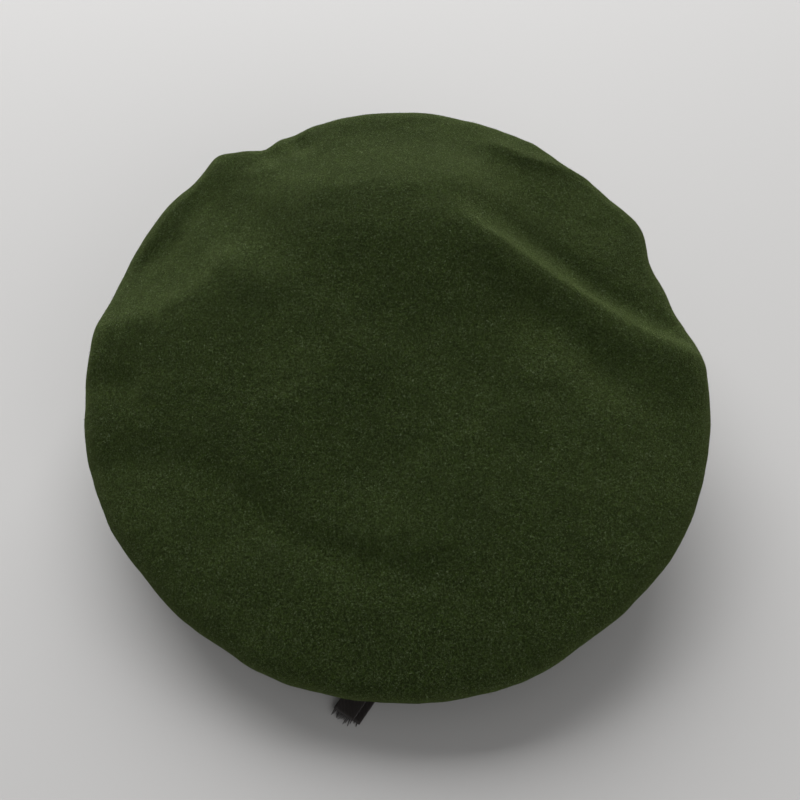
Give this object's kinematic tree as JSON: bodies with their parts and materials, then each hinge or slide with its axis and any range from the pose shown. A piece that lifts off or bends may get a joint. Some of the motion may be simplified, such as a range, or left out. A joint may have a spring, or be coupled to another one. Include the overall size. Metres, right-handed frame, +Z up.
{
  "type": "beret",
  "caption": "Soft wool-felt military-style beret with leather binding, ribbon drawstring, satin lining, vent eyelets and a badge stiffener.",
  "frame": {"origin": "centre of the head opening, on the plane that the leather binding rests on", "axes": "+Z up, out of the top of the crown; +Y towards the wearer's front; +X towards the wearer's right; the drawstring leaves at the back, -Y"},
  "size_m": [0.285, 0.2812, 0.0878],
  "materials": {
    "felt": "matte, short wool nap",
    "lining": "satin weave",
    "stiffener": "matt pressed board",
    "label": "woven, blank",
    "leather": "fine grain, satin",
    "ribbon": "ribbed grosgrain",
    "thread": "twisted thread",
    "eyelet": "satin dark enamel"
  },
  "bodies": {
    "beret": {"crown_shell": "felt", "lining_side_panel": "lining", "lining_crown_panel": "lining", "badge_stiffener": "stiffener", "stiffener_cover": "lining", "woven_label": "label", "leather_binding": "leather", "drawstring_ribbon": "ribbon", "binding_thread": "thread", "eyelet_front": "eyelet", "eyelet_washer_front": "eyelet", "eyelet_rear": "eyelet", "eyelet_washer_rear": "eyelet"},
    "drawstring": {"ribbon_knot": "ribbon", "ribbon_tail_upper": "ribbon", "ribbon_tail_lower": "ribbon"}
  },
  "joints": [
    {"name": "drawstring_pull", "type": "slide", "parent": "beret", "child": "drawstring", "axis": [-0.5592, -0.829, 0], "range_m": [0, 0.012]}
  ]
}
